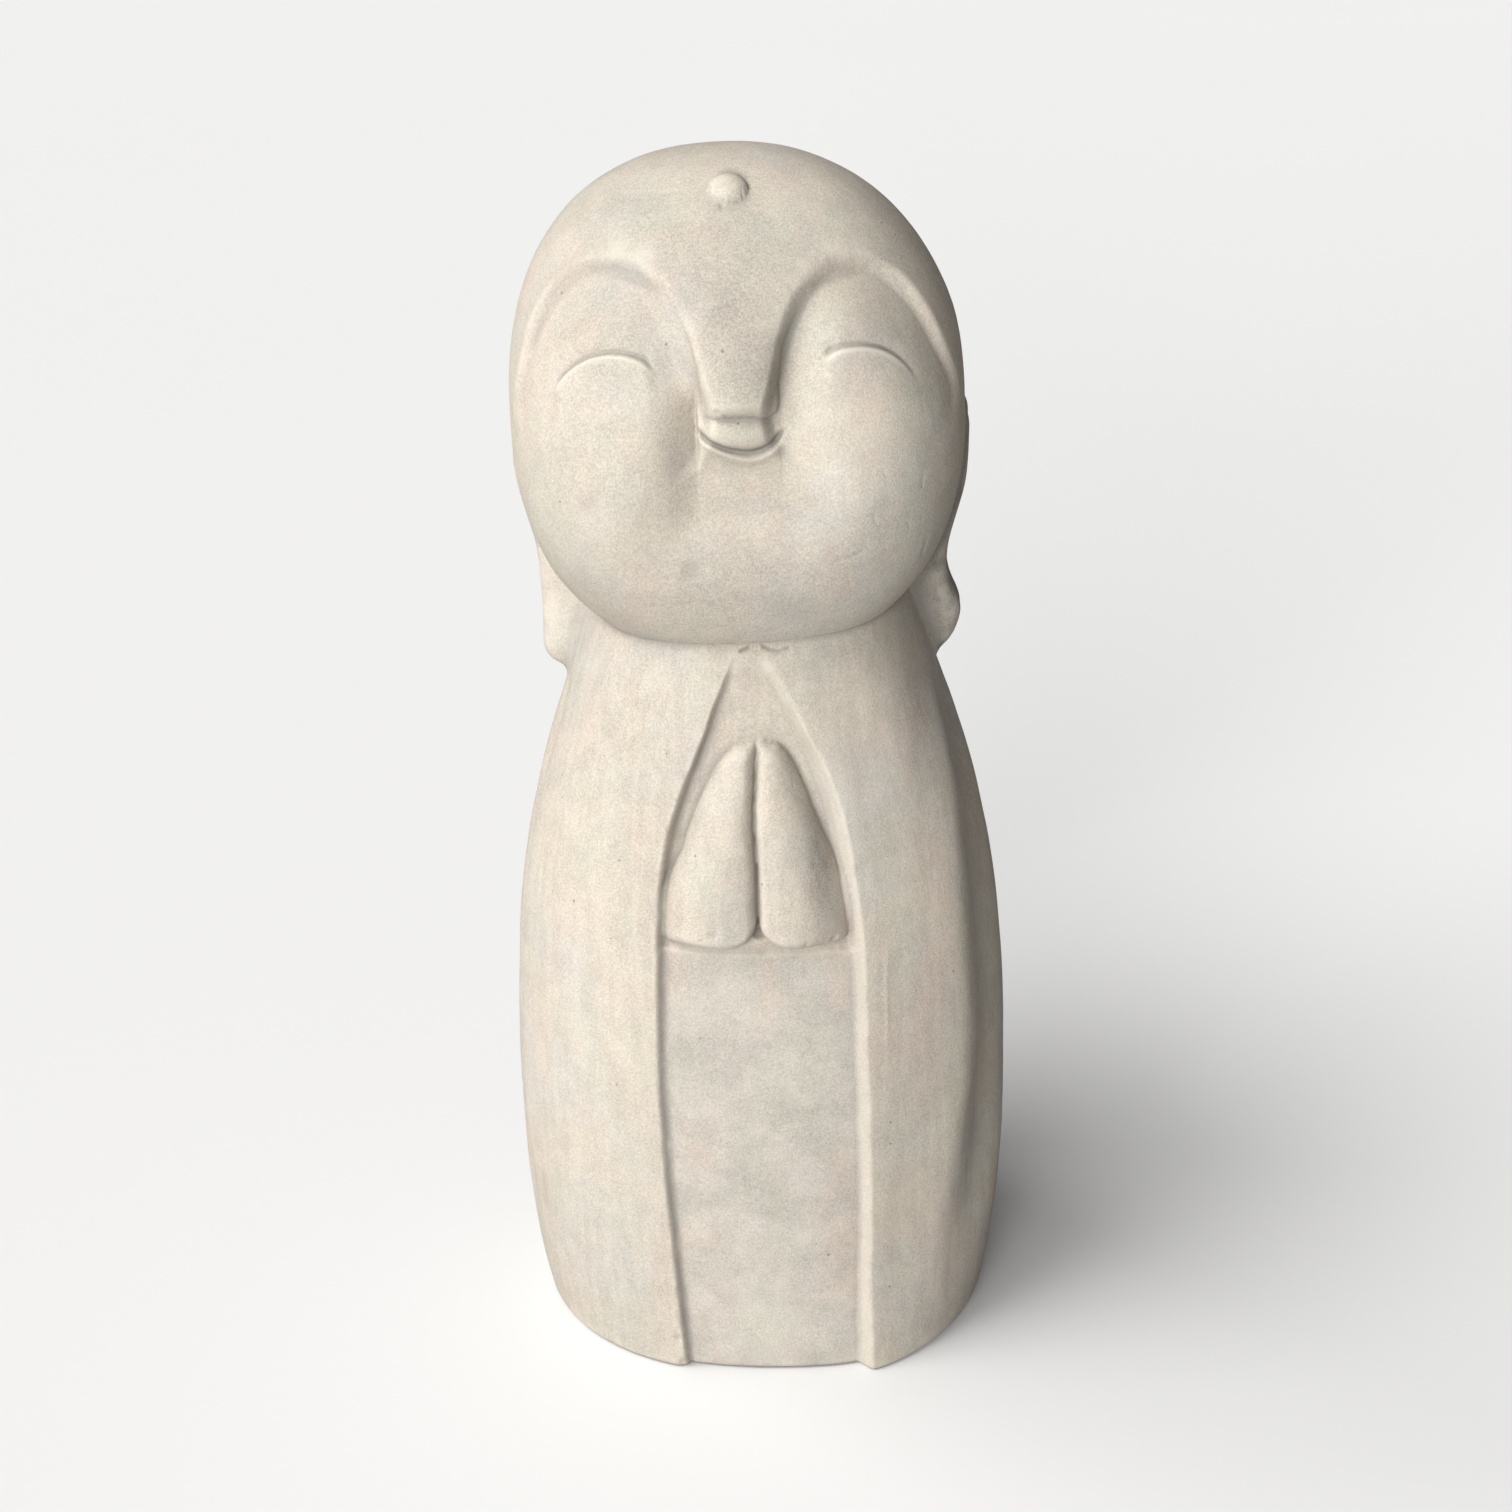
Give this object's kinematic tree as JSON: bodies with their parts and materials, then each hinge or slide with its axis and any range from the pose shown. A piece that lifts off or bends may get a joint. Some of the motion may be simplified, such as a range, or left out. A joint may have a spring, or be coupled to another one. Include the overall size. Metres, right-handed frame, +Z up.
{
  "type": "garden statue",
  "caption": "Standing stone figure of a smiling child monk with closed eyes, long ears, a plain robe and joined palms, for a garden, shrine or shelf.",
  "frame": {"origin": "middle of the flat underside, on the ground", "axes": "+Z up to the crown; the face looks along -Y; +X is the viewer's right, the figure's left side"},
  "size_m": [0.249, 0.2114, 0.6001],
  "materials": {
    "cast_stone": "matte cast stone, pale sand and grey, fine sandy grain with small air pits"
  },
  "bodies": {
    "root": {"statue": "cast_stone"}
  },
  "joints": []
}
